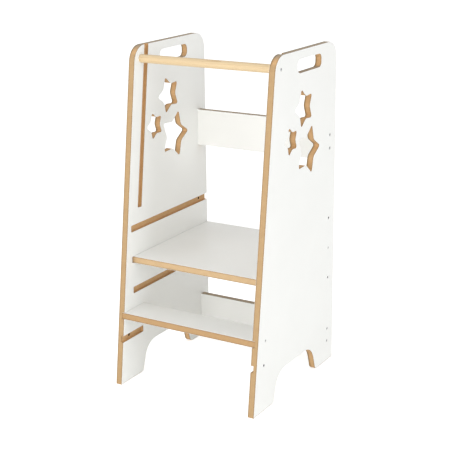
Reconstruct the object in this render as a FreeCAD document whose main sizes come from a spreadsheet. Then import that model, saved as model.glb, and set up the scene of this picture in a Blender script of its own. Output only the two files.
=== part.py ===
"""Kitchen helper stool for a toddler: a tower of white-faced boards.

Two side panels stand on arched feet. A round rail and two back boards tie them together,
a platform and a step slide in grooves in their inner faces, and small screws lock those two.
Millimetres. +X is the right side seen from the front, +Y is the rear, +Z is up, and the
origin is on the floor under the middle of the stool.
"""
import FreeCAD, Part
import math
import os

import Sketcher

# Driving dimensions, in millimetres unless the note says otherwise.
SIZES = {
    # the tower
    "overall_height": 900,
    "inner_width": 393,            # between the inner faces of the two side panels
    "foot_span": 452,              # front to back on the floor
    "front_setback": 119,          # how far the front edge leans back on its way to the top
    "board_thickness": 18,
    "face_sheet": 0.4,             # white sheet bonded on each side of a board's core
    "floor_ease": 1,               # the side panels' face sheets stop this far above the floor
    "front_top_round": 44,
    "rear_top_round": 42,
    "arch_width": 244,             # on the floor
    "arch_lean": 25,               # how far each wall leans in on its way up
    "arch_height": 79.5,
    "arch_round": 54,
    "foot_round": 14,
    "arch_straight": 2,            # least straight wall between those two rounds
    # hand hole near the top of each side panel
    "hand_hole_length": 133,
    "hand_hole_height": 35,
    "hand_hole_round": 14,
    "hand_hole_drop": 22.5,        # from the top edge down to the hole
    "hand_hole_inset": 89,         # from the rear edge forward to the hole
    # star cut-outs, each placed by its centre
    "upper_star_radius": 53,
    "upper_star_drop": 149,
    "upper_star_inset": 184.3,
    "small_star_radius": 39.5,
    "small_star_drop": 221.7,
    "small_star_inset": 255.1,
    "large_star_radius": 68,
    "large_star_drop": 263.8,
    "large_star_inset": 160.1,
    "star_waist": 0.57,            # inner corners, as a share of the star's radius
    "star_tip_round": 5,
    "star_waist_round": 16,
    # grooves in the inner faces
    "groove_depth": 8,
    "groove_ease": 0.4,            # height of a groove over the thickness of the board in it
    "groove_corner": 3,
    "accessory_setback": 50,       # centre line of the slanted groove behind the front edge
    "accessory_stop": 42,          # from the slanted groove's bottom down to the top platform groove
    # platform and its three levels
    "platform_setback": 14,        # from the front edge back to the top platform groove
    "platform_stop": 6,            # groove left open in front of the platform
    "platform_rise": 326.5,        # underside of the platform, which is in the middle groove
    "platform_pitch": 86,
    "slide_end_gap": 0.3,          # between a sliding board's end and its groove's bottom
    # step and its two levels
    "step_depth": 89,
    "step_rise": 181.3,            # underside of the step, which is in the upper groove
    "step_pitch": 64.3,
    # back boards
    "back_board_height": 102,
    "back_board_inset": 24,        # from the rear edge forward to the board's rear face
    "upper_back_rise": 583.3,
    "lower_back_rise": 27.4,
    # top rail
    "rail_diameter": 22,
    "rail_drop": 34,               # from the top edge down to the rail's axis
    "rail_setback": 28.5,          # from the front edge back to the rail's axis
    # joining screws of the back boards and the rail
    "screw_length": 50,
    "screw_shank": 6,
    "screw_head": 8.6,
    "screw_head_height": 3.4,
    "screw_tip": 4,                # length of the pointed end
    "screw_clearance": 0.1,        # round the shank and past the tip
    "head_clearance": 0.2,         # round the head
    "head_inset": 0.2,             # head below the panel's face
    "back_screw_pitch": 36,
    "hex_socket": 4,               # across the flats
    "hex_socket_depth": 2.4,
    # threaded inserts of the sliding boards' levels, and the locking screws in them
    "insert_diameter": 8,
    "insert_length": 9,
    "insert_clearance": 0.05,
    "insert_bore": 6,
    "lock_screw_diameter": 5.9,
    "lock_screw_length": 9,
    "lock_socket": 3,
    "lock_socket_depth": 3.5,
    "lock_point": 0.8,             # chamfer of the flat point that faces the board
    "lock_gap": 0.2,               # between the point and the board's end
    "platform_screw_inset": 33,    # from the rear edge forward
    "step_screw_setback": 37,      # from the front edge back
}

# Places worked out from the driving dimensions.
REAR = "Sizes.foot_span / 2"
LEAN = "atan(Sizes.front_setback / Sizes.overall_height)"
INNER = "Sizes.inner_width / 2"
OUTER = f"({INNER} + Sizes.board_thickness)"
CORE = "(Sizes.board_thickness - 2 * Sizes.face_sheet)"
GROOVE_FLOOR = f"({INNER} + Sizes.groove_depth)"
SLIDE_END = f"({GROOVE_FLOOR} - Sizes.slide_end_gap)"
BACK_MIDDLE = f"({REAR} - Sizes.back_board_inset - Sizes.board_thickness / 2)"
RAIL_HEIGHT = "(Sizes.overall_height - Sizes.rail_drop)"
ROUND_HOLE = "(Sizes.screw_shank / 2 + Sizes.screw_clearance)"
SCREW_REACH = "(Sizes.screw_length + Sizes.head_inset - Sizes.board_thickness)"
INSERT_HOLE = "(Sizes.insert_diameter / 2 + Sizes.insert_clearance)"
GROOVE = "(Sizes.board_thickness + Sizes.groove_ease)"
STAR_TIPS = 5
HEX_SIDES = 6
FULL_TURN = 360
THROUGH = "2 * Sizes.board_thickness"
SIDES = {"left": -1, "right": 1}

os.makedirs("parts", exist_ok=True)
document = FreeCAD.newDocument("HelperStool")
sheet = document.addObject("Spreadsheet::Sheet", "Sizes")
for row, (alias, value) in enumerate(SIZES.items(), start=1):
    sheet.set(f"A{row}", alias)
    sheet.set(f"B{row}", str(value))
    sheet.setAlias(f"B{row}", alias)
document.recompute()


def worked_out(expression):
    """The number that an expression on the sheet gives now."""
    result = sheet.evalExpression(expression)
    return float(getattr(result, "Value", result))


def front_edge(height):
    """How far back the slanted front edge is at a height."""
    return f"(Sizes.front_setback * ({height}) / Sizes.overall_height - {REAR})"


def platform_groove_top():
    """Height of the upper wall of the platform's top groove."""
    return f"({platform_levels()[-1]} + {GROOVE})"


def platform_front():
    """The platform's front edge, which stops short of the front ends of its grooves."""
    return f"({front_edge(platform_groove_top())} + Sizes.platform_setback + Sizes.platform_stop)"


# ---------------------------------------------------------------- bodies and sketches

def new_body(label, x="0", y="0", z="0"):
    body = document.addObject("PartDesign::Body", label)
    body.Label = label
    for axis, expression in zip("xyz", (x, y, z)):
        body.setExpression(f"Placement.Base.{axis}", expression)
    return body


def origin_part(body, role):
    return next(part for part in body.Origin.OriginFeatures if part.Role == role)


def new_sketch(body, name, plane, across="0", up="0", out="0", turn="0"):
    """A sketch on one of the body's own origin planes, shifted and turned by expressions."""
    sketch = body.newObject("Sketcher::SketchObject", name)
    sketch.AttachmentSupport = (origin_part(body, plane), [""])
    sketch.MapMode = "FlatFace"
    for axis, expression in zip("xyz", (across, up, out)):
        sketch.setExpression(f"AttachmentOffset.Base.{axis}", expression)
    sketch.setExpression("AttachmentOffset.Rotation.Angle", turn)
    return sketch


def constrain(sketch, name, kind, elements, expression):
    """One size in a sketch, bound to the sheet."""
    index = sketch.addConstraint(Sketcher.Constraint(kind, *elements, worked_out(expression)))
    sketch.renameConstraint(index, name)
    sketch.setExpression(f"Constraints.{name}", expression)


def place_point(sketch, name, element, end, across, up):
    constrain(sketch, f"{name}_across", "DistanceX", (-1, 1, element, end), across)
    constrain(sketch, f"{name}_up", "DistanceY", (-1, 1, element, end), up)


def rounded_corner(before, corner, after, radius):
    """Tangent points, centre and turning sense of a round between two straight edges."""
    towards_before = (before - corner).normalize()
    towards_after = (after - corner).normalize()
    half_angle = towards_before.getAngle(towards_after) / 2
    reach = radius / math.tan(half_angle)
    middle = (towards_before + towards_after).normalize()
    centre = corner + middle * (radius / math.sin(half_angle))
    turns_left = (corner - before).cross(after - corner).z > 0
    return corner + towards_before * reach, corner + towards_after * reach, centre, turns_left


def draw_outline(sketch, corners):
    """A closed outline of straight edges through corners given as (across, up, round).

    Each of the three is an expression on the sheet. A round of None leaves the corner sharp.
    """
    count = len(corners)
    points = [FreeCAD.Vector(worked_out(c[0]), worked_out(c[1]), 0) for c in corners]
    rounds = {}
    for i, (_, _, radius) in enumerate(corners):
        if radius is not None:
            after = points[(i + 1) % count]
            rounds[i] = rounded_corner(points[i - 1], points[i], after, worked_out(radius))
    for i in range(count):
        following = (i + 1) % count
        start = rounds[i][1] if i in rounds else points[i]
        end = rounds[following][0] if following in rounds else points[following]
        sketch.addGeometry(Part.LineSegment(start, end))
    for i, (across, up, radius) in enumerate(corners):
        before = (i - 1) % count
        if i not in rounds:
            sketch.addConstraint(Sketcher.Constraint("Coincident", before, 2, i, 1))
            place_point(sketch, f"corner_{i}", i, 1, across, up)
            continue
        entry, leaving, centre, turns_left = rounds[i]
        first, last = (entry, leaving) if turns_left else (leaving, entry)
        angles = [math.atan2(p.y - centre.y, p.x - centre.x) for p in (first, last)]
        circle = Part.Circle(centre, FreeCAD.Vector(0, 0, 1), worked_out(radius))
        arc = sketch.addGeometry(Part.ArcOfCircle(circle, *angles))
        sharp = sketch.addGeometry(Part.Point(points[i]), True)
        entry_end, leaving_end = (1, 2) if turns_left else (2, 1)
        sketch.addConstraint([
            Sketcher.Constraint("Tangent", before, 2, arc, entry_end),
            Sketcher.Constraint("Tangent", i, 1, arc, leaving_end),
            Sketcher.Constraint("PointOnObject", sharp, 1, before),
            Sketcher.Constraint("PointOnObject", sharp, 1, i),
        ])
        place_point(sketch, f"corner_{i}", sharp, 1, across, up)
        constrain(sketch, f"round_{i}", "Radius", (arc,), radius)


def draw_rectangle(sketch, left, right, low, high, radius=None):
    draw_outline(sketch, [(left, low, radius), (right, low, radius),
                          (right, high, radius), (left, high, radius)])


def draw_circles(sketch, centres, radius):
    for i, (across, up) in enumerate(centres):
        centre = FreeCAD.Vector(worked_out(across), worked_out(up), 0)
        circle = Part.Circle(centre, FreeCAD.Vector(0, 0, 1), worked_out(radius))
        element = sketch.addGeometry(circle)
        place_point(sketch, f"centre_{i}", element, 3, across, up)
        constrain(sketch, f"radius_{i}", "Radius", (element,), radius)


def draw_hexagon(sketch, across_flats):
    """A hexagon round the sketch's origin, given its size across the flats."""
    turn = FULL_TURN / HEX_SIDES
    reach = f"{across_flats} / 2 / cos({turn / 2})"
    angles = [turn * i for i in range(HEX_SIDES)]
    draw_outline(sketch, [(f"{reach} * cos({a})", f"{reach} * sin({a})", None) for a in angles])


def draw_star(sketch, across, up, radius, heading):
    """A star with soft waists, one tip of which points along the heading in degrees."""
    corners = []
    for i in range(2 * STAR_TIPS):
        angle = heading + FULL_TURN / 2 / STAR_TIPS * i
        tip = i % 2 == 0
        reach = radius if tip else f"{radius} * Sizes.star_waist"
        corners.append((
            f"{across} + {reach} * cos({angle})",
            f"{up} + {reach} * sin({angle})",
            "Sizes.star_tip_round" if tip else "Sizes.star_waist_round",
        ))
    draw_outline(sketch, corners)


def pad(body, sketch, length, against_normal=False):
    feature = body.newObject("PartDesign::Pad", f"{sketch.Name}_pad")
    feature.Profile = (sketch, [""])
    feature.setExpression("Length", length)
    feature.Reversed = against_normal
    return feature


def pocket(body, sketch, depth, along_normal):
    feature = body.newObject("PartDesign::Pocket", f"{sketch.Name}_cut")
    feature.Profile = (sketch, [""])
    feature.setExpression("Length", depth)
    feature.Reversed = along_normal
    return feature


# ---------------------------------------------------------------- side panels

STARS = {
    "upper_star": 180,
    "small_star": 180,
    "large_star": 0,
}


def star_centre(star):
    return f"{REAR} - Sizes.{star}_inset", f"Sizes.overall_height - Sizes.{star}_drop"


def panel_outline():
    """The panel's outline from the front foot, along the floor and the arch, to the top."""
    arch = "Sizes.arch_width / 2"
    arch_top = f"({arch} - Sizes.arch_lean)"
    arch_wall = "Sizes.arch_height - Sizes.foot_round - Sizes.arch_straight"
    arch_round = f"min(Sizes.arch_round; {arch_wall})"
    top = "Sizes.overall_height"
    return [
        (f"-{REAR}", "0", None),
        (f"-{arch}", "0", "Sizes.foot_round"),
        (f"-{arch_top}", "Sizes.arch_height", arch_round),
        (arch_top, "Sizes.arch_height", arch_round),
        (arch, "0", "Sizes.foot_round"),
        (REAR, "0", None),
        (REAR, top, "Sizes.rear_top_round"),
        (front_edge(top), top, "Sizes.front_top_round"),
    ]


def cut_openings(body, label, into_material):
    """The hand hole and the stars, which go right through."""
    hole_rear = f"{REAR} - Sizes.hand_hole_inset"
    hole_top = "Sizes.overall_height - Sizes.hand_hole_drop"
    hand_hole = new_sketch(body, f"{label}_hand_hole", "YZ_Plane")
    draw_rectangle(hand_hole, f"{hole_rear} - Sizes.hand_hole_length", hole_rear,
                   f"{hole_top} - Sizes.hand_hole_height", hole_top, "Sizes.hand_hole_round")
    pocket(body, hand_hole, THROUGH, into_material)
    for star, heading in STARS.items():
        outline = new_sketch(body, f"{label}_{star}", "YZ_Plane")
        draw_star(outline, *star_centre(star), f"Sizes.{star}_radius", heading)
        pocket(body, outline, THROUGH, into_material)


def platform_levels():
    """Heights of the platform's underside in its three grooves, from the lowest."""
    return [f"(Sizes.platform_rise + {i} * Sizes.platform_pitch)" for i in (-1, 0, 1)]


def step_levels():
    """Heights of the step's underside in its two grooves, from the upper one."""
    return ["Sizes.step_rise", "(Sizes.step_rise - Sizes.step_pitch)"]


def board_middle(level):
    return f"({level} + Sizes.board_thickness / 2)"


def step_front(level):
    """The step's front edge is flush with the panels' front edge at its top face."""
    return front_edge(f"{level} + Sizes.board_thickness")


def cut_grooves(body, label, depth, into_material):
    """Level grooves for the platform and the step, and the slanted accessory groove."""
    corner = "Sizes.groove_corner"
    past_edge = "Sizes.board_thickness"
    for i, level in enumerate(platform_levels()):
        groove = new_sketch(body, f"{label}_platform_groove_{i}", "YZ_Plane")
        front = f"{platform_front()} - Sizes.platform_stop"
        rear = f"{REAR} + {past_edge}"
        top = f"{level} + {GROOVE}"
        draw_outline(groove, [(front, level, corner), (rear, level, None),
                              (rear, top, None), (front, top, corner)])
        pocket(body, groove, depth, into_material)
    for i, level in enumerate(step_levels()):
        groove = new_sketch(body, f"{label}_step_groove_{i}", "YZ_Plane")
        front = f"{front_edge(level)} - {past_edge}"
        rear = f"{step_front(level)} + Sizes.step_depth + {corner}"
        top = f"{level} + {GROOVE}"
        draw_outline(groove, [(front, level, None), (rear, level, corner),
                              (rear, top, corner), (front, top, None)])
        pocket(body, groove, depth, into_material)
    half = f"{GROOVE} / 2"
    top_back = f"{front_edge('Sizes.overall_height')} + Sizes.accessory_setback / cos({LEAN})"
    drop = f"(Sizes.overall_height - {platform_groove_top()} - Sizes.accessory_stop)"
    bottom = f"-{drop} / cos({LEAN})"
    slanted = new_sketch(body, f"{label}_accessory_groove", "YZ_Plane",
                         across=top_back, up="Sizes.overall_height", turn=f"-{LEAN}")
    draw_outline(slanted, [(f"-{half}", bottom, corner),
                           (half, bottom, corner),
                           (half, past_edge, None), (f"-{half}", past_edge, None)])
    pocket(body, slanted, depth, into_material)


def back_board_middles():
    """Heights of the middles of the two back boards."""
    return {
        "upper_back": "(Sizes.upper_back_rise + Sizes.back_board_height / 2)",
        "lower_back": "(Sizes.lower_back_rise + Sizes.back_board_height / 2)",
    }


def rail_place():
    return f"({front_edge(RAIL_HEIGHT)} + Sizes.rail_setback)", RAIL_HEIGHT


def joining_screw_places():
    """Where the joining screws pass through a side panel, as (across, up)."""
    places = [rail_place()]
    for middle in back_board_middles().values():
        places.append((BACK_MIDDLE, f"{middle} - Sizes.back_screw_pitch / 2"))
        places.append((BACK_MIDDLE, f"{middle} + Sizes.back_screw_pitch / 2"))
    return places


def platform_insert_places():
    middles = [board_middle(level) for level in platform_levels()]
    return [(f"{REAR} - Sizes.platform_screw_inset", middle) for middle in middles]


def step_insert_places():
    middles = [board_middle(level) for level in step_levels()]
    return [(f"{front_edge(middle)} + Sizes.step_screw_setback", middle) for middle in middles]


def drill(body, name, places, radius, depth, into_material, start="0"):
    sketch = new_sketch(body, name, "YZ_Plane", out=start)
    draw_circles(sketch, places, radius)
    pocket(body, sketch, depth, into_material)


def side_panel(side, sign):
    """The core and the two face sheets of one side panel, each as its own body.

    A layer's own origin is on the face that it turns to the middle of the stool.
    """
    outwards = sign > 0
    insert_places = platform_insert_places() + step_insert_places()
    head_hole = "(Sizes.screw_head / 2 + Sizes.head_clearance)"
    head_depth = "(Sizes.screw_head_height + Sizes.head_inset)"
    layers = {
        "inner_face": (INNER, "Sizes.face_sheet"),
        "core": (f"({INNER} + Sizes.face_sheet)", CORE),
        "outer_face": (f"({OUTER} - Sizes.face_sheet)", "Sizes.face_sheet"),
    }
    for layer, (start, thickness) in layers.items():
        label = f"{side}_panel_{layer}"
        body = new_body(label, x=f"{sign} * {start}")
        outline = new_sketch(body, f"{label}_outline", "YZ_Plane")
        draw_outline(outline, panel_outline())
        pad(body, outline, thickness, against_normal=not outwards)
        cut_openings(body, label, outwards)
        if layer == "inner_face":
            cut_grooves(body, label, THROUGH, outwards)
        if layer == "core":
            cut_grooves(body, label, "Sizes.groove_depth - Sizes.face_sheet", outwards)
        if layer != "inner_face":
            drill(body, f"{label}_insert_holes", insert_places, INSERT_HOLE, THROUGH, outwards)
        if layer == "outer_face":
            drill(body, f"{label}_head_holes", joining_screw_places(), head_hole, THROUGH, outwards)
        else:
            drill(body, f"{label}_shank_holes", joining_screw_places(), ROUND_HOLE, THROUGH, outwards)
        if layer == "core":
            drill(body, f"{label}_head_seats", joining_screw_places(), head_hole,
                  f"{head_depth} - Sizes.face_sheet", not outwards, start=f"{sign} * {thickness}")
        else:
            floor_band = new_sketch(body, f"{label}_floor_ease", "YZ_Plane")
            draw_rectangle(floor_band, "-Sizes.foot_span", "Sizes.foot_span",
                           "-Sizes.floor_ease", "Sizes.floor_ease")
            pocket(body, floor_band, THROUGH, outwards)


# ---------------------------------------------------------------- boards between the panels

def level_board(name, front, depth, bottom):
    """Core and face sheets of a sliding board, given its front edge and its underside."""
    layers = {
        "under_face": (bottom, "Sizes.face_sheet"),
        "core": (f"{bottom} + Sizes.face_sheet", CORE),
        "top_face": (f"{bottom} + Sizes.board_thickness - Sizes.face_sheet", "Sizes.face_sheet"),
    }
    for layer, (height, thickness) in layers.items():
        label = f"{name}_{layer}"
        body = new_body(label, y=front, z=height)
        outline = new_sketch(body, f"{label}_outline", "XY_Plane")
        draw_rectangle(outline, f"-{SLIDE_END}", SLIDE_END, "0", depth)
        pad(body, outline, thickness)


def back_board(name, middle):
    """Core and face sheets of an upright board, with screw holes in the ends of its core."""
    front = f"({BACK_MIDDLE} - Sizes.board_thickness / 2)"
    half_height = "Sizes.back_board_height / 2"
    half_pitch = "Sizes.back_screw_pitch / 2"
    layers = {
        "front_face": (front, "Sizes.face_sheet"),
        "core": (f"{front} + Sizes.face_sheet", CORE),
        "rear_face": (f"{front} + Sizes.board_thickness - Sizes.face_sheet", "Sizes.face_sheet"),
    }
    for layer, (place, thickness) in layers.items():
        label = f"{name}_{layer}"
        body = new_body(label, y=place, z=middle)
        outline = new_sketch(body, f"{label}_outline", "XZ_Plane")
        draw_rectangle(outline, f"-{INNER}", INNER, f"-{half_height}", half_height)
        pad(body, outline, thickness, against_normal=True)
        if layer == "core":
            holes = [(f"{CORE} / 2", f"-{half_pitch}"), (f"{CORE} / 2", half_pitch)]
            for side, sign in SIDES.items():
                drill(body, f"{label}_{side}_holes", holes, ROUND_HOLE,
                      f"{SCREW_REACH} + Sizes.screw_clearance", sign < 0, start=f"{sign} * {INNER}")


def top_rail():
    """The round rail that the child holds, drilled at both ends."""
    across, up = rail_place()
    body = new_body("top_rail", x=f"-{INNER}", y=across, z=up)
    section = new_sketch(body, "top_rail_section", "YZ_Plane")
    draw_circles(section, [("0", "0")], "Sizes.rail_diameter / 2")
    pad(body, section, "Sizes.inner_width")
    depth = f"{SCREW_REACH} + Sizes.screw_clearance"
    drill(body, "top_rail_left_hole", [("0", "0")], ROUND_HOLE, depth, True)
    drill(body, "top_rail_right_hole", [("0", "0")], ROUND_HOLE, depth, False,
          start="Sizes.inner_width")


# ---------------------------------------------------------------- fasteners

def turned_body(label, sign, x, y, z, profile):
    """A body turned about an axis along X. The profile runs inwards from the outer end."""
    body = new_body(label, x=f"{sign} * {x}", y=y, z=z)
    section = new_sketch(body, f"{label}_section", "XZ_Plane")
    draw_outline(section, [(f"{-sign} * ({along})", radius, None) for along, radius in profile])
    turning = body.newObject("PartDesign::Revolution", f"{label}_turning")
    turning.Profile = (section, [""])
    turning.ReferenceAxis = (section, ["H_Axis"])
    turning.Angle = FULL_TURN
    return body, turning


def hex_socket(body, label, sign, across_flats, depth):
    outline = new_sketch(body, f"{label}_socket", "YZ_Plane")
    draw_hexagon(outline, across_flats)
    return pocket(body, outline, depth, along_normal=sign < 0)


def repeat_upwards(body, features, pitch, count):
    pattern = body.newObject("PartDesign::LinearPattern", f"{body.Label}_row")
    pattern.Originals = features
    pattern.Direction = (origin_part(body, "Z_Axis"), [""])
    pattern.Occurrences = count
    pattern.setExpression("Length", f"{count - 1} * {pitch}")
    body.Tip = pattern


def joining_screws(label, sign, across, up, count):
    """Flat-headed joining screws with a hex socket, one above the other at the back boards."""
    head, shank = "Sizes.screw_head / 2", "Sizes.screw_shank / 2"
    profile = [
        ("0", "0"),
        ("0", head),
        ("Sizes.screw_head_height", head),
        ("Sizes.screw_head_height", shank),
        ("Sizes.screw_length - Sizes.screw_tip", shank),
        ("Sizes.screw_length", "0"),
    ]
    body, turning = turned_body(label, sign, f"({OUTER} - Sizes.head_inset)", across, up, profile)
    socket = hex_socket(body, label, sign, "Sizes.hex_socket", "Sizes.hex_socket_depth")
    if count > 1:
        repeat_upwards(body, [turning, socket], "Sizes.back_screw_pitch", count)


def threaded_inserts(label, sign, across, up, count):
    """Metal sleeves in the thin web behind the grooves, flush with the panel's outer face."""
    profile = [
        ("0", "Sizes.insert_bore / 2"),
        ("0", "Sizes.insert_diameter / 2"),
        ("Sizes.insert_length", "Sizes.insert_diameter / 2"),
        ("Sizes.insert_length", "Sizes.insert_bore / 2"),
    ]
    body, turning = turned_body(label, sign, OUTER, across, up, profile)
    if count > 1:
        repeat_upwards(body, [turning], "Sizes.platform_pitch", count)


def lock_screw(label, sign, across, up):
    """A headless screw in its insert, which is turned in to hold the end of a sliding board."""
    radius, point = "Sizes.lock_screw_diameter / 2", "Sizes.lock_point"
    profile = [
        ("0", "0"),
        ("0", f"{radius} - {point} / 2"),
        (f"{point} / 2", radius),
        (f"Sizes.lock_screw_length - {point}", radius),
        ("Sizes.lock_screw_length", f"{radius} - {point}"),
        ("Sizes.lock_screw_length", "0"),
    ]
    outer_end = f"({SLIDE_END} + Sizes.lock_gap + Sizes.lock_screw_length)"
    body, _ = turned_body(label, sign, outer_end, across, up, profile)
    hex_socket(body, label, sign, "Sizes.lock_socket", "Sizes.lock_socket_depth")


# ---------------------------------------------------------------- the stool

def build_stool():
    for side, sign in SIDES.items():
        side_panel(side, sign)
    level_board("platform", platform_front(), f"{REAR} - {platform_front()}", "Sizes.platform_rise")
    level_board("step", step_front("Sizes.step_rise"), "Sizes.step_depth", "Sizes.step_rise")
    for name, middle in back_board_middles().items():
        back_board(name, middle)
    top_rail()
    for side, sign in SIDES.items():
        joining_screws(f"rail_screw_{side}", sign, *rail_place(), 1)
        for name, middle in back_board_middles().items():
            lower_screw = f"{middle} - Sizes.back_screw_pitch / 2"
            joining_screws(f"{name}_screws_{side}", sign, BACK_MIDDLE, lower_screw, 2)
        platform_places = platform_insert_places()
        upper_place, lower_place = step_insert_places()
        threaded_inserts(f"platform_inserts_{side}", sign, *platform_places[0], len(platform_places))
        threaded_inserts(f"step_insert_upper_{side}", sign, *upper_place, 1)
        threaded_inserts(f"step_insert_lower_{side}", sign, *lower_place, 1)
        lock_screw(f"platform_lock_screw_{side}", sign, *platform_places[1])
        lock_screw(f"step_lock_screw_{side}", sign, *upper_place)


def check_features():
    """Stop on a failed feature, on a cut that takes nothing away and on a bad solid."""
    for item in document.Objects:
        if {"Invalid", "Error"} & set(item.State):
            raise RuntimeError(f"{item.Name} is {item.State}")
        if item.TypeId == "PartDesign::Pocket":
            if not item.Shape.Volume < item.BaseFeature.Shape.Volume:
                raise RuntimeError(f"{item.Name} cuts nothing")
    for body in document.findObjects("PartDesign::Body"):
        if body.Shape.isNull() or not body.Shape.isValid():
            raise RuntimeError(f"{body.Label} has no valid shape")


build_stool()
document.recompute()
check_features()
for piece in document.findObjects("PartDesign::Body"):
    piece.Shape.exportStep(f"parts/{piece.Label}.step")
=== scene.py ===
"""Looks for a toddler's kitchen helper stool: white-faced boards with bare brown edges, a pine
rail and plated fasteners. Metres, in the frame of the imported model: +X right, +Y rear, +Z up.
"""
import math

import bmesh
import bpy
import numpy as np
from mathutils import Matrix, Vector


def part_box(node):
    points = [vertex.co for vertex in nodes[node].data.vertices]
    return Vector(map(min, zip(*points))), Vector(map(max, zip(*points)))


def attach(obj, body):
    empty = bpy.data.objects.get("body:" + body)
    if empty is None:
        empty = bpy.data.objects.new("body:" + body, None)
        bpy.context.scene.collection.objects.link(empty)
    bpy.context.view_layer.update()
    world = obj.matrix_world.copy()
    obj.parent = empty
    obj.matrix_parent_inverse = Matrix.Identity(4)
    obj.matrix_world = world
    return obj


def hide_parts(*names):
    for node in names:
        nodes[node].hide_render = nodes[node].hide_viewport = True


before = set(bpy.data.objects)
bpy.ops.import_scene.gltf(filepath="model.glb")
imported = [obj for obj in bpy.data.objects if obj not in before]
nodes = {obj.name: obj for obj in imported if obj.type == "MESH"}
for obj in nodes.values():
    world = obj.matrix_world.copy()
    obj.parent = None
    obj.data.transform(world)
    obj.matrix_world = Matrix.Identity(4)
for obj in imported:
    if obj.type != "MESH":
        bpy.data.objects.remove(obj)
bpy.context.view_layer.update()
MM = 0.001
SIDES = {"left": -1.0, "right": 1.0}


def rgb(red, green, blue):
    """A colour as Blender's sockets take it."""
    return (red, green, blue, 1.0)


# ---------------------------------------------------------------- camera, light and room

PHOTO_SIDE = 452                    # pixels, both ways
FOCAL_PIXELS = 1121.0
CAMERA_PLACE = (1.48469, -2.45966, 1.29873)
CAMERA_AZIMUTH = math.radians(31.053)
CAMERA_ELEVATION = math.radians(17.032)
CAMERA_ROLL = math.radians(-0.731)
PIXEL_SHIFT = (-0.03, -0.15)        # how far the photograph lies right and down, in pixels
FLOOR_DROP = 0.2 * MM               # keeps the floor clear of the feet's undersides


def place_camera():
    """The photograph's camera: looks against the direction given by azimuth and elevation."""
    azimuth, elevation, roll = CAMERA_AZIMUTH, CAMERA_ELEVATION, CAMERA_ROLL
    back = Vector((math.sin(azimuth) * math.cos(elevation),
                   -math.cos(azimuth) * math.cos(elevation), math.sin(elevation)))
    level_right = (-back).cross(Vector((0, 0, 1))).normalized()
    level_up = back.cross(level_right)
    right = level_right * math.cos(roll) + level_up * math.sin(roll)
    up = level_up * math.cos(roll) - level_right * math.sin(roll)
    lens = bpy.data.cameras.new("photo_camera")
    lens.sensor_width = 36.0
    lens.lens = FOCAL_PIXELS / PHOTO_SIDE * lens.sensor_width
    lens.shift_x = -PIXEL_SHIFT[0] / PHOTO_SIDE
    lens.shift_y = PIXEL_SHIFT[1] / PHOTO_SIDE
    lens.clip_start, lens.clip_end = 0.05, 50.0
    camera = bpy.data.objects.new("photo_camera", lens)
    turned = Matrix((right, up, back)).transposed().to_4x4()
    camera.matrix_world = Matrix.Translation(CAMERA_PLACE) @ turned
    bpy.context.scene.collection.objects.link(camera)
    bpy.context.scene.camera = camera


def soft_lamp(name, place, aim, size, watts, tint=(1, 1, 1)):
    """A square area lamp at a place, turned to a point it aims at."""
    lamp = bpy.data.lights.new(name, "AREA")
    lamp.size = size
    lamp.energy = watts
    lamp.color = tint
    lamp_object = bpy.data.objects.new(name, lamp)
    direction = Vector(aim) - Vector(place)
    lamp_object.rotation_euler = direction.to_track_quat("-Z", "Y").to_euler()
    lamp_object.location = place
    bpy.context.scene.collection.objects.link(lamp_object)


def seen_ray(tree):
    """1 for rays that show the room itself: from the camera, in gloss and through glass."""
    path = tree.nodes.new("ShaderNodeLightPath")
    gloss = tree.nodes.new("ShaderNodeMath")
    gloss.operation = "MAXIMUM"
    tree.links.new(path.outputs["Is Camera Ray"], gloss.inputs[0])
    tree.links.new(path.outputs["Is Glossy Ray"], gloss.inputs[1])
    seen = tree.nodes.new("ShaderNodeMath")
    seen.operation = "MAXIMUM"
    tree.links.new(gloss.outputs[0], seen.inputs[0])
    tree.links.new(path.outputs["Is Transmission Ray"], seen.inputs[1])
    return seen.outputs[0]


def white_room(ambient):
    """A world that looks white and lights the object evenly from all round."""
    world = bpy.data.worlds.new("white_room")
    bpy.context.scene.world = world
    world.use_nodes = True
    tree = world.node_tree
    background = tree.nodes["Background"]
    level = tree.nodes.new("ShaderNodeMapRange")
    level.inputs["To Min"].default_value = ambient
    level.inputs["To Max"].default_value = 1.0
    tree.links.new(seen_ray(tree), level.inputs["Value"])
    background.inputs["Color"].default_value = (1, 1, 1, 1)
    tree.links.new(level.outputs["Result"], background.inputs["Strength"])


def white_floor(size, lift, paint_colour):
    """A white floor that takes the stool's soft shadow and fades into the white room."""
    corners = np.array([[-1, -1, 0], [1, -1, 0], [1, 1, 0], [-1, 1, 0]]) * size / 2
    mesh = bpy.data.meshes.new("floor")
    mesh.from_pydata((corners - [0, 0, FLOOR_DROP]).tolist(), [], [(0, 1, 2, 3)])
    floor = bpy.data.objects.new("floor", mesh)
    bpy.context.scene.collection.objects.link(floor)
    material = bpy.data.materials.new("floor_white")
    material.use_nodes = True
    tree = material.node_tree
    tree.nodes.clear()
    paint_layer = tree.nodes.new("ShaderNodeBsdfDiffuse")
    paint_layer.inputs["Color"].default_value = rgb(*paint_colour)
    glow = tree.nodes.new("ShaderNodeEmission")
    tone = tree.nodes.new("ShaderNodeMath")
    tone.operation = "MULTIPLY"
    tone.inputs[1].default_value = lift
    tree.links.new(seen_ray(tree), tone.inputs[0])
    tree.links.new(tone.outputs[0], glow.inputs["Strength"])
    both = tree.nodes.new("ShaderNodeAddShader")
    out = tree.nodes.new("ShaderNodeOutputMaterial")
    tree.links.new(paint_layer.outputs[0], both.inputs[0])
    tree.links.new(glow.outputs[0], both.inputs[1])
    tree.links.new(both.outputs[0], out.inputs["Surface"])
    mesh.materials.append(material)


# ---------------------------------------------------------------- materials

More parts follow.
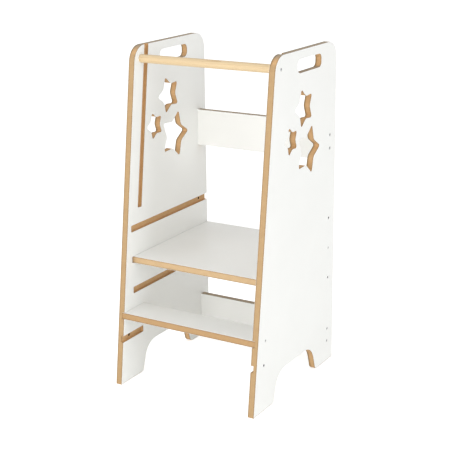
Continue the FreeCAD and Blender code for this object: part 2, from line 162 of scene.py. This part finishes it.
class Finish:
    """A material under construction, with short calls for the nodes that the finishes use."""

    def __init__(self, name, roughness, metallic=0.0):
        self.material = bpy.data.materials.new(name)
        self.material.use_nodes = True
        self.tree = self.material.node_tree
        self.shader = self.tree.nodes["Principled BSDF"]
        self.shader.inputs["Roughness"].default_value = roughness
        self.shader.inputs["Metallic"].default_value = metallic
        place = self.tree.nodes.new("ShaderNodeTexCoord")
        self.coordinates = place.outputs["Object"]
        self.facing = place.outputs["Normal"]

    def put(self, socket, value):
        """A link or a constant goes into a node's input."""
        if isinstance(value, bpy.types.NodeSocket):
            self.tree.links.new(value, socket)
        else:
            socket.default_value = value

    def stretched(self, scale, place=(0.0, 0.0, 0.0), turn=(0.0, 0.0, 0.0)):
        """Object coordinates moved, turned and then scaled along each axis."""
        node = self.tree.nodes.new("ShaderNodeMapping")
        node.vector_type = "POINT"
        self.put(node.inputs["Vector"], self.coordinates)
        node.inputs["Location"].default_value = place
        node.inputs["Rotation"].default_value = turn
        node.inputs["Scale"].default_value = scale
        return node.outputs["Vector"]

    def noise(self, vector, scale=1.0, detail=2.0, roughness=0.5):
        """Soft noise about 0.5."""
        node = self.tree.nodes.new("ShaderNodeTexNoise")
        self.put(node.inputs["Vector"], vector)
        node.inputs["Scale"].default_value = scale
        node.inputs["Detail"].default_value = detail
        node.inputs["Roughness"].default_value = roughness
        return node.outputs["Fac"]

    def cells(self, vector):
        """Distance to the nearest of many scattered points."""
        node = self.tree.nodes.new("ShaderNodeTexVoronoi")
        self.put(node.inputs["Vector"], vector)
        node.inputs["Scale"].default_value = 1.0
        return node.outputs["Distance"]

    def math(self, operation, first, second=0.0):
        """One arithmetic step on links or constants."""
        node = self.tree.nodes.new("ShaderNodeMath")
        node.operation = operation
        self.put(node.inputs[0], first)
        self.put(node.inputs[1], second)
        return node.outputs[0]

    def fit(self, value, low, high, to_low=0.0, to_high=1.0):
        """The range from low to high is carried to another range, and cut off past it."""
        node = self.tree.nodes.new("ShaderNodeMapRange")
        self.put(node.inputs["Value"], value)
        for socket, number in zip(("From Min", "From Max", "To Min", "To Max"),
                                  (low, high, to_low, to_high)):
            node.inputs[socket].default_value = number
        return node.outputs["Result"]

    def axes(self, vector=None):
        """X, Y and Z of a vector, or of the place on the object."""
        node = self.tree.nodes.new("ShaderNodeSeparateXYZ")
        self.put(node.inputs[0], self.coordinates if vector is None else vector)
        return node.outputs

    def blend(self, share, first, second, mode="MIX"):
        """The first colour goes to the second, or is multiplied by it, where share is 1."""
        node = self.tree.nodes.new("ShaderNodeMix")
        node.data_type = "RGBA"
        node.blend_type = mode
        self.put(node.inputs["Factor"], share)
        self.put(node.inputs["A"], first)
        self.put(node.inputs["B"], second)
        return node.outputs["Result"]

    def colour(self, value):
        """The finish's base colour."""
        self.put(self.shader.inputs["Base Color"], value)

    def relief(self, height, depth, normal=None):
        """Bump of a height from 0 to 1 and a real depth in metres, over an earlier bump."""
        node = self.tree.nodes.new("ShaderNodeBump")
        node.inputs["Strength"].default_value = 1.0
        node.inputs["Distance"].default_value = depth
        self.put(node.inputs["Height"], height)
        if normal is not None:
            self.put(node.inputs["Normal"], normal)
        self.put(self.shader.inputs["Normal"], node.outputs["Normal"])
        return node.outputs["Normal"]


def white_facing(name, tone):
    """Satin white board facing: a fine pebble, a slow unevenness of sheen and faint mottling."""
    finish = Finish(name, 0.38)
    pebble = finish.noise(finish.coordinates, scale=1400.0, detail=3.0, roughness=0.6)
    press = finish.noise(finish.coordinates, scale=22.0, detail=2.0)
    cloud = finish.noise(finish.coordinates, scale=6.0, detail=3.0)
    shade = tuple(channel * 0.975 for channel in tone)      # the mottling's darker end
    finish.colour(finish.blend(finish.fit(cloud, 0.3, 0.7), rgb(*tone), rgb(*shade)))
    sheen = finish.math("ADD", finish.fit(press, 0.3, 0.7, 0.33, 0.43),
                        finish.fit(pebble, 0.2, 0.8, -0.03, 0.03))
    finish.put(finish.shader.inputs["Roughness"], sheen)
    finish.relief(pebble, 0.018 * MM, finish.relief(press, 0.25 * MM))
    return finish.material


THICKNESS_AXES = {"X": 0, "Y": 1, "Z": 2}
FRONT_FOOT = -226 * MM              # the panels' front edge on the floor
FRONT_LEAN = 119 / 900              # how far it leans back for its rise
CORE_PITS_DARK = rgb(0, 0, 0)
CORE_PITS_CLEAR = rgb(1, 1, 1)
CORE_DENSE = rgb(0.58, 0.54, 0.48)          # these four multiply the core's colour
# the last three are painted shade: greyed level tops, darkened front edges, and cores darker
# towards each panel's -X face
CORE_TOP_SHADE_PAINTED = rgb(0.63, 0.78, 1.12)
CORE_FRONT_EDGE_SHADE_PAINTED = rgb(0.76, 0.80, 0.83)
CORE_SIDE_SHADE_PAINTED = rgb(0.36, 0.36, 0.27)


def stretched_noise_scale(along, across, axis):
    """Noise scales of a board: one along its faces and another across its thickness."""
    scale = [along, along, along]
    scale[axis] = across
    return scale


def bare_core(name, thickness_axis, middle, half, light, dark, top_shade_above):
    """Cut edge of fibreboard, in the board's own directions.

    Fibres lie flat in the board, so their marks are short dashes across the thickness. The
    board is denser and darker near its faces, pitted in its middle, and the cutter has left
    faint ridges from face to face. Level tops above a height are greyed and darkened as painted
    shade, where little light falls from above. The panels' slanted front edges are darkened a
    little as painted shade, and the rest of each panel's core is darkened as painted shade
    towards its -X face, the side less lit. The two panels share one finish.
    """
    finish = Finish(name, 0.72)
    axis = THICKNESS_AXES[thickness_axis]
    fibres = finish.noise(finish.stretched(stretched_noise_scale(330.0, 1900.0, axis)),
                          detail=4.0, roughness=0.65)
    clumps = finish.noise(finish.coordinates, scale=95.0, detail=2.0)
    pits = finish.cells(finish.stretched(stretched_noise_scale(520.0, 1500.0, axis)))
    ridges = finish.noise(finish.stretched(stretched_noise_scale(420.0, 6.0, axis)), detail=1.0)
    tone = finish.math("ADD", finish.fit(fibres, 0.25, 0.75, 0.0, 0.75),
                       finish.fit(clumps, 0.3, 0.7, 0.0, 0.25))
    wood = finish.blend(tone, rgb(*dark), rgb(*light))
    hole = finish.fit(pits, 0.04, 0.22, 0.82, 1.0)
    wood = finish.blend(1.0, wood, finish.blend(hole, CORE_PITS_DARK, CORE_PITS_CLEAR),
                        "MULTIPLY")

    across = finish.math("ABSOLUTE", finish.axes()[axis])
    depth = finish.math("ABSOLUTE", finish.math("SUBTRACT", across, middle))
    skin = finish.fit(depth, half * 0.6, half)
    wood = finish.blend(skin, wood, CORE_DENSE, "MULTIPLY")

    x, y, z = finish.axes()
    # painted shade: level tops above the given height are greyed and darkened, where little light
    # falls from above
    level_top = finish.fit(finish.axes(finish.facing)[2], 0.75, 0.97)
    high_up = finish.fit(z, top_shade_above - 5 * MM, top_shade_above)
    wood = finish.blend(finish.math("MULTIPLY", level_top, high_up), wood, CORE_TOP_SHADE_PAINTED,
                        "MULTIPLY")
    if thickness_axis == "X":
        # painted shade: the panels' slanted front edges are darkened
        behind = finish.math("SUBTRACT", y, finish.math("MULTIPLY", z, FRONT_LEAN))
        front_edge = finish.fit(behind, FRONT_FOOT + 2 * MM, FRONT_FOOT + 6 * MM, 1.0, 0.0)
        wood = finish.blend(front_edge, wood, CORE_FRONT_EDGE_SHADE_PAINTED, "MULTIPLY")
        # painted shade: the core is darker within a few millimetres of each panel's -X face, the
        # side less lit, except on the front edges
        to_left_shaded_face = finish.math("ABSOLUTE", finish.math("ADD", x, middle + half))
        to_right_shaded_face = finish.math("ABSOLUTE", finish.math("SUBTRACT", x, middle - half))
        from_shaded_face = finish.math("MINIMUM", to_left_shaded_face, to_right_shaded_face)
        painted_side_shade = finish.math("MULTIPLY",
                               finish.fit(from_shaded_face, 0.5 * MM, 6.5 * MM, 0.75, 0.0),
                               finish.math("SUBTRACT", 1.0, front_edge))
        wood = finish.blend(painted_side_shade, wood, CORE_SIDE_SHADE_PAINTED, "MULTIPLY")
    finish.colour(wood)
    finish.put(finish.shader.inputs["Roughness"], finish.fit(fibres, 0.2, 0.8, 0.62, 0.8))
    finish.relief(fibres, 0.06 * MM, finish.relief(ridges, 0.06 * MM))
    return finish.material


RAIL_HEART_AHEAD = 21 * MM          # of the rail's axis, and above it
RAIL_HEART_ABOVE = 34 * MM
RAIL_RING_WIDTH = 2.6 * MM
RAIL_WANDER = 3.5 * MM              # of the rings, to each side


def pine_rail(name, axis_height, axis_place):
    """Turned pine: the rail cuts through growth rings whose heart lies beside it.

    Ring number is the distance to a slowly wandering heart divided by the ring width. Each
    ring is pale and ends in a narrow darker line; fine pores run along the rail.
    """
    finish = Finish(name, 0.52)
    wander = finish.noise(finish.stretched((2.2, 14.0, 14.0)), detail=2.0)
    _, y, z = finish.axes()
    to_heart_y = finish.math("SUBTRACT", y, axis_place - RAIL_HEART_AHEAD)
    to_heart_z = finish.math("SUBTRACT", z, axis_height + RAIL_HEART_ABOVE)
    distance = finish.math("SQRT", finish.math(
        "ADD", finish.math("MULTIPLY", to_heart_y, to_heart_y),
        finish.math("MULTIPLY", to_heart_z, to_heart_z)))
    swing = finish.math("ADD", distance,
                        finish.fit(wander, 0.3, 0.7, -RAIL_WANDER, RAIL_WANDER))
    ring = finish.math("FRACT", finish.math("DIVIDE", swing, RAIL_RING_WIDTH))
    late = finish.math("POWER", ring, 4.0)
    pores = finish.noise(finish.stretched((60.0, 2400.0, 2400.0)), detail=3.0, roughness=0.6)
    streaks = finish.noise(finish.stretched((5.0, 260.0, 260.0)), detail=2.0)
    wood = finish.blend(late, rgb(0.73, 0.56, 0.335), rgb(0.56, 0.355, 0.16))
    wood = finish.blend(finish.fit(streaks, 0.35, 0.75, 0.0, 0.5), wood, rgb(0.77, 0.62, 0.395))
    wood = finish.blend(finish.fit(pores, 0.5, 0.8, 0.0, 0.22), wood, rgb(0.60, 0.40, 0.2))
    finish.colour(wood)
    finish.put(finish.shader.inputs["Roughness"], finish.fit(late, 0.0, 1.0, 0.55, 0.42))
    finish.relief(pores, 0.04 * MM, finish.relief(late, 0.03 * MM))
    return finish.material


DEEP_DARK_TONE = rgb(0.035, 0.033, 0.03)


def plated_steel(name, tone, roughness, outer_end, darkening_depth):
    """Zinc plating: bright metal with fine random scratches and dull patches.

    It is darkened towards near-black from the given depth behind the panels' outer faces, fully
    so at twice that depth.
    """
    finish = Finish(name, roughness, metallic=1.0)
    scratches = finish.noise(finish.stretched((3000.0, 500.0, 3000.0)), detail=2.0)
    patches = finish.noise(finish.coordinates, scale=300.0, detail=3.0)
    worn = tuple(channel * 0.8 for channel in tone)         # the patches' darker end
    metal = finish.blend(finish.fit(patches, 0.35, 0.7), rgb(*tone), rgb(*worn))
    reach = finish.math("ABSOLUTE", finish.axes()[0])
    # near-black deeper behind the panels' outer faces
    deep_darkened = finish.fit(reach, outer_end - 2 * darkening_depth, outer_end - darkening_depth, 1.0, 0.0)
    finish.colour(finish.blend(deep_darkened, metal, DEEP_DARK_TONE))
    finish.put(finish.shader.inputs["Roughness"],
               finish.fit(scratches, 0.3, 0.7, roughness - 0.08, roughness + 0.1))
    finish.relief(scratches, 0.006 * MM)
    return finish.material


# ---------------------------------------------------------------- pieces made as surfaces

TURN_STEPS = 96                     # of a screw or insert, once round
STEPS_PER_THREAD = 12
SLEEVE_COLLAR = 1.2 * MM            # plain start of an insert's outside, before its thread


def grid_mesh(name, points, closed_profile=False, start_pole=False, end_pole=False):
    """A mesh from points[profile step, turn step, xyz], closed round the turn.

    Faces join neighbouring steps. A closed profile joins its last step to its first. A pole
    closes an open end with a fan to the middle of that ring.
    """
    steps, turns, _ = points.shape
    index = np.arange(steps * turns).reshape(steps, turns)
    below = index if closed_profile else index[:-1]
    above = np.roll(index, -1, axis=0) if closed_profile else index[1:]
    quads = np.stack([below, np.roll(below, -1, axis=1), np.roll(above, -1, axis=1), above], -1)
    faces = quads.reshape(-1, 4).tolist()
    vertices = points.reshape(-1, 3)
    if start_pole:
        vertices = np.vstack([vertices, points[0].mean(axis=0)])
        ring, pole = index[0], len(vertices) - 1
        faces += np.stack([np.roll(ring, -1), ring, np.full(turns, pole)], -1).tolist()
    if end_pole:
        vertices = np.vstack([vertices, points[-1].mean(axis=0)])
        ring, pole = index[-1], len(vertices) - 1
        faces += np.stack([ring, np.roll(ring, -1), np.full(turns, pole)], -1).tolist()
    mesh = bpy.data.meshes.new(name)
    mesh.from_pydata(vertices.tolist(), [], faces)
    mesh.validate()
    return mesh


def finished_piece(name, meshes, material, body, replaced, sharp_angle=30.0):
    """Meshes joined into one piece, faces turned outwards, smooth but for its sharp edges."""
    joined = bmesh.new()
    for mesh in meshes:
        joined.from_mesh(mesh)
        bpy.data.meshes.remove(mesh)
    bmesh.ops.remove_doubles(joined, verts=joined.verts, dist=1e-7)
    bmesh.ops.recalc_face_normals(joined, faces=joined.faces)
    shape = bpy.data.meshes.new(name)
    joined.to_mesh(shape)
    joined.free()
    shape.polygons.foreach_set("use_smooth", np.ones(len(shape.polygons), bool))
    shape.set_sharp_from_angle(angle=math.radians(sharp_angle))
    shape.materials.append(material)
    piece = bpy.data.objects.new(name, shape)
    bpy.context.scene.collection.objects.link(piece)
    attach(piece, body)
    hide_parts(replaced)
    return piece


def along_x(depth, radius, angle, sign, centre):
    """Points at a depth from the outer end, a radius and an angle about an axis along X."""
    outer, y, z = centre
    return np.stack(np.broadcast_arrays(
        sign * (outer - depth), y + radius * np.cos(angle), z + radius * np.sin(angle)), -1)


def turn_angles():
    """Angles once round, as a row that a column of profile steps goes with."""
    return np.linspace(0, 2 * math.pi, TURN_STEPS, endpoint=False)[None, :]


def rings_at(profile, angle, sign, centre):
    """Rings of a profile given as (depth, radius) pairs, the radius a number or one per angle."""
    depths = np.array([depth for depth, _ in profile])[:, None] + 0 * angle
    radii = np.concatenate([radius + 0 * angle for _, radius in profile])
    return along_x(depths, radii, angle, sign, centre)


def hexagon_radius(angle, across_flats):
    """Radius of a hexagon at an angle: half its width over the cosine from the nearest flat."""
    sixth = math.pi / 3
    from_flat = (angle + sixth / 2) % sixth - sixth / 2
    return across_flats / 2 / np.cos(from_flat)


def thread_radius(depth, angle, start, end, crest, root, pitch):
    """Radius of a screw thread: a triangle wave in turns, faded in and out at its ends."""
    phase = (depth / pitch - angle / (2 * math.pi)) % 1.0
    wave = 1 - np.abs(2 * phase - 1)
    fade = np.clip((depth - start) / pitch, 0, 1) * np.clip((end - depth) / pitch, 0, 1)
    return crest - (crest - root) * (1 - wave) * fade


def hex_screw(name, centre, sign, length, head, shank, socket, tip, pitch):
    """A screw as one profile turned about its axis, from the socket's floor to the tip.

    The socket's rings are hexagons, the head's rings are circles, and the shank's radius is
    that of a thread. head is (radius, height, bevel), and socket is (across flats, depth).
    """
    angle = turn_angles()
    head_radius, head_height, bevel = head
    across, depth = socket
    flat = hexagon_radius(angle, across)
    head_rings = rings_at([
        (depth + 0.12 * across, flat * 0.02),
        (depth, flat * 0.86),
        (depth - 0.1 * MM, flat),
        (0.15 * MM, flat),
        (0.0, flat + 0.15 * MM),
        (0.0, head_radius - bevel),
        (0.3 * bevel, head_radius - 0.3 * bevel),
        (bevel, head_radius),
        (head_height, head_radius),
    ], angle, sign, centre)
    shank_end = length - tip
    steps = np.linspace(head_height, shank_end, max(8, int(shank_end / pitch * 10)))
    at = steps[:, None] + 0 * angle
    radius = thread_radius(at, angle, head_height, shank_end, shank, shank * 0.8, pitch)
    point = rings_at([(length - 0.5 * tip, 0.6 * shank), (length, 0.04 * shank)],
                     angle, sign, centre)
    points = np.concatenate([head_rings, along_x(at, radius, angle, sign, centre), point])
    return grid_mesh(name, points, start_pole=True, end_pole=True)


def grub_screw(name, centre, sign, length, radius, socket, point, pitch):
    """A headless screw: threaded all along, chamfered at both ends, with a hexagon socket."""
    angle = turn_angles()
    across, depth = socket
    flat = hexagon_radius(angle, across)
    socket_rings = rings_at([
        (depth + 0.1 * across, flat * 0.02),
        (depth, flat * 0.86),
        (0.12 * MM, flat),
        (0.0, flat + 0.12 * MM),
        (0.0, radius - point / 2),
    ], angle, sign, centre)
    steps = np.linspace(point / 2, length - point, int(length / pitch * STEPS_PER_THREAD))
    at = steps[:, None] + 0 * angle
    wall = thread_radius(at, angle, point / 2, length - point, radius, radius * 0.86, pitch)
    end = rings_at([(length, radius - point), (length, 0.04 * radius)], angle, sign, centre)
    points = np.concatenate([socket_rings, along_x(at, wall, angle, sign, centre), end])
    return grid_mesh(name, points, start_pole=True, end_pole=True)


def threaded_sleeve(name, centre, sign, length, outer, bore, rim, pitch):
    """A sleeve as one closed profile turned about its axis: bore, rim, threaded outside, end."""
    angle = turn_angles()
    steps = np.linspace(rim, length - rim, int(length / pitch * STEPS_PER_THREAD))
    at = steps[:, None] + 0 * angle
    outside = thread_radius(at, angle, SLEEVE_COLLAR, length - rim, outer, outer * 0.9, pitch)
    inside = bore + 0 * at
    near = rings_at([(0.0, outer - rim), (rim, outer)], angle, sign, centre)
    far = rings_at([(length, outer - rim), (length, bore + rim)], angle, sign, centre)
    lip = rings_at([(0.0, bore + rim)], angle, sign, centre)
    points = np.concatenate([near, along_x(at, outside, angle, sign, centre), far,
                             along_x(at[::-1], inside, angle, sign, centre), lip])
    return grid_mesh(name, points, closed_profile=True)


def rail_dowel(name, node):
    """The round rail: radius along its length, eased at both ends, with faint sanding waves.

    The waves are the product of two sines of the place along the rail.
    """
    low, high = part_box(node)
    radius = (high.z - low.z) / 2
    ease, wave_height, clearance = 0.6 * MM, 0.012 * MM, 0.02 * MM
    inner = np.linspace(low.x + ease, high.x - ease, 161)
    x = np.concatenate([[low.x], inner, [high.x]])
    angle = np.linspace(0, 2 * math.pi, 128, endpoint=False)[None, :]
    wave = wave_height * np.sin(x / (13 * MM)) * np.sin(x / (31 * MM) + 1.0)
    reach = np.full(len(x), radius - clearance) + wave
    reach[[0, -1]] = radius - ease
    y = (low.y + high.y) / 2 + reach[:, None] * np.cos(angle)
    z = (low.z + high.z) / 2 + reach[:, None] * np.sin(angle)
    points = np.stack([x[:, None] + 0 * angle, y, z], -1)
    return grid_mesh(name, points, start_pole=True, end_pole=True)


def screw_centres(node, count):
    """Axis places of the screws or inserts of a node, one above the other."""
    low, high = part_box(node)
    width = high.y - low.y
    heights = np.linspace(low.z + width / 2, high.z - width / 2, count)
    outer = max(abs(low.x), abs(high.x))
    return [(outer, (low.y + high.y) / 2, height) for height in heights]


def along_length(node):
    """How long a screw or insert is, along its axis."""
    low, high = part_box(node)
    return high.x - low.x


# ---------------------------------------------------------------- dressing the stool

SCREW = {"head": (4.3 * MM, 3.4 * MM, 0.7 * MM), "shank": 3.0 * MM,
         "socket": (4.0 * MM, 2.2 * MM), "tip": 4.0 * MM, "pitch": 2.4 * MM}
SLEEVE = {"outer": 4.0 * MM, "bore": 3.0 * MM, "rim": 0.25 * MM, "pitch": 1.6 * MM}
GRUB = {"radius": 2.95 * MM, "socket": (3.0 * MM, 3.4 * MM), "point": 0.8 * MM,
        "pitch": 1.0 * MM}


def paint(material, *names):
    """CAD nodes take a material in place of their own."""
    for name in names:
        slots = nodes[name].data.materials
        slots.clear()
        slots.append(material)


# the platform's paler, lighter colours are painted light and the step's darker ones painted shade
CORES = {                           # thickness axis, and the light and dark fibres
    "left_panel_core": ("X", (0.71, 0.455, 0.22), (0.54, 0.315, 0.14)),
    "upper_back_core": ("Y", (0.65, 0.42, 0.20), (0.49, 0.29, 0.125)),
    "lower_back_core": ("Y", (0.65, 0.42, 0.20), (0.49, 0.29, 0.125)),
    "platform_core": ("Z", (0.64, 0.45, 0.247), (0.525, 0.345, 0.176)),
    "step_core": ("Z", (0.54, 0.342, 0.16), (0.415, 0.24, 0.104)),
}
# height above which the panels' level tops get painted shade
PANEL_TOP_SHADE_ABOVE = 0.8           # only the panels' top edges, not the feet or cut-outs


def dress_boards():
    """White facings, and each core's cut edges in its own directions."""
    facing = white_facing("facing_white", (0.90, 0.90, 0.872))
    paint(facing, *(name for name in nodes if name.endswith("_face")))
    for name, (axis, light, dark) in CORES.items():
        low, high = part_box(name)
        place = THICKNESS_AXES[axis]
        near, far = sorted((abs(low[place]), abs(high[place])))
        # painted shade on level tops: the panels' above a height, the other boards' everywhere
        top_shade_above = PANEL_TOP_SHADE_ABOVE if axis == "X" else 0.0
        core = bare_core(name.replace("left_", "") + "_fibreboard", axis,
                         (near + far) / 2, (far - near) / 2, light, dark, top_shade_above)
        paint(core, name)
        if name == "left_panel_core":
            paint(core, "right_panel_core")


def dress_rail():
    """The pine rail in place of its plain node."""
    low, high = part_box("top_rail")
    pine = pine_rail("rail_pine", (low.z + high.z) / 2, (low.y + high.y) / 2)
    finished_piece("rail_dowel", [rail_dowel("rail_dowel", "top_rail")], pine,
                   "frame", "top_rail")


def dress_fasteners():
    """Joining screws, inserts and locking screws with threads and sockets, on both sides."""
    outer_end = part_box("right_panel_core")[1].x
    steel = plated_steel("screw_plating", (0.60, 0.61, 0.62), 0.34, outer_end, 1.6 * MM)
    zinc = plated_steel("insert_plating", (0.74, 0.74, 0.73), 0.4, outer_end, 0.6 * MM)
    bright = plated_steel("lock_screw_plating", (0.80, 0.80, 0.79), 0.4, outer_end, 4.5 * MM)

    def dress(node, count, shape, sizes, new_name, material, body):
        """Copies of one shape stand for a node's solids, one above the other."""
        meshes = [shape(f"{node}_{i}", centre, sign, along_length(node), **sizes)
                  for i, centre in enumerate(screw_centres(node, count))]
        finished_piece(new_name, meshes, material, body, node)

    for side, sign in SIDES.items():
        for node, count in ((f"rail_screw_{side}", 1), (f"upper_back_screws_{side}", 2),
                            (f"lower_back_screws_{side}", 2)):
            dress(node, count, hex_screw, SCREW, node.replace("screw", "hex_screw"), steel,
                  "frame")
        for node, count in ((f"platform_inserts_{side}", 3), (f"step_insert_upper_{side}", 1),
                            (f"step_insert_lower_{side}", 1)):
            dress(node, count, threaded_sleeve, SLEEVE, node.replace("insert", "threaded_insert"),
                  zinc, "frame")
        for node in (f"platform_lock_screw_{side}", f"step_lock_screw_{side}"):
            dress(node, 1, grub_screw, GRUB, node.replace("lock", "grub"), bright,
                  node)


# ---------------------------------------------------------------- the scene

bpy.context.scene.view_settings.view_transform = "Standard"
place_camera()
white_room(ambient=0.70)
white_floor(size=30.0, lift=0.5, paint_colour=(0.95, 0.95, 0.94))
soft_lamp("front_softbox", (0.3, -2.2, 0.8), (0, 0, 0.4), 1.6, 20.5)
soft_lamp("right_softbox", (3.4, -0.6, 1.2), (0, 0, 0.45), 1.0, 24.4, tint=(0.945, 0.968, 1.0))
soft_lamp("left_softbox", (-1.8, -2.4, 2.2), (0, 0, 0.4), 1.6, 13)
dress_boards()
dress_rail()
dress_fasteners()
